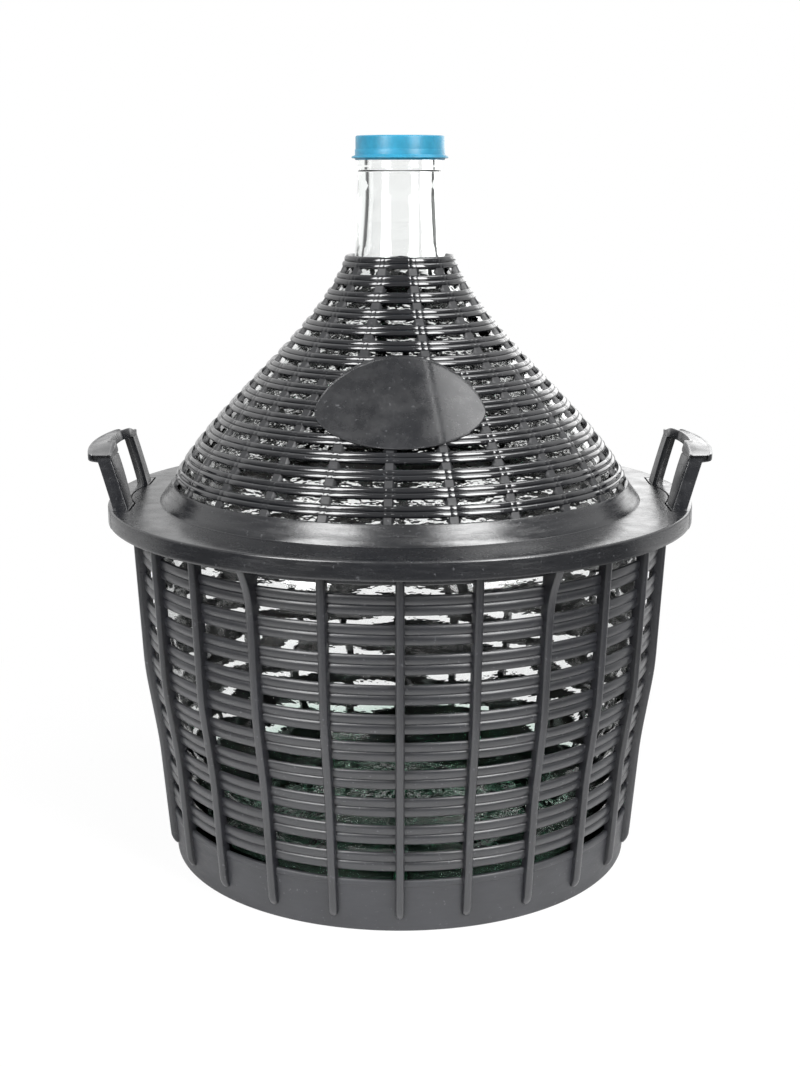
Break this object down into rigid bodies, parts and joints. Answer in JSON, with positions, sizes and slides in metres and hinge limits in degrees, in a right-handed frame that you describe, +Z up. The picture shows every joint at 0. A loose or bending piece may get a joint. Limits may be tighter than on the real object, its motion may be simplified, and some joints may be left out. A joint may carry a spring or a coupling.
{
  "type": "basket demijohn",
  "caption": "Large glass demijohn in a black moulded basket with a handle on each side, a slotted conical cover over its shoulder and a push-on cap.",
  "frame": {"origin": "on the floor, under the middle of the basket", "axes": "+Z up along the neck, the handles on -X and +X, the cover's oval plate towards -Y"},
  "size_m": [0.4138, 0.39, 0.4796],
  "materials": {
    "basket_plastic": "satin moulded polyethylene",
    "cover_plastic": "glossy moulded polyethylene",
    "clear_glass": "clear blown glass with a faint green tint",
    "cap_plastic": "sky blue soft polyethylene"
  },
  "bodies": {
    "basket": {"basket": "basket_plastic"},
    "demijohn": {"demijohn": "clear_glass"},
    "cover": {"cover": "cover_plastic"},
    "cap": {"cap": "cap_plastic"}
  },
  "joints": [
    {"name": "demijohn_lift", "type": "slide", "parent": "basket", "child": "demijohn", "axis": [0, 0, 1], "range_m": [0, 0.285]},
    {"name": "cover_lift", "type": "slide", "parent": "demijohn", "child": "cover", "axis": [0, 0, 1], "range_m": [0, 0.255]},
    {"name": "cap_lift", "type": "slide", "parent": "demijohn", "child": "cap", "axis": [0, 0, 1], "range_m": [0, 0.03]}
  ]
}
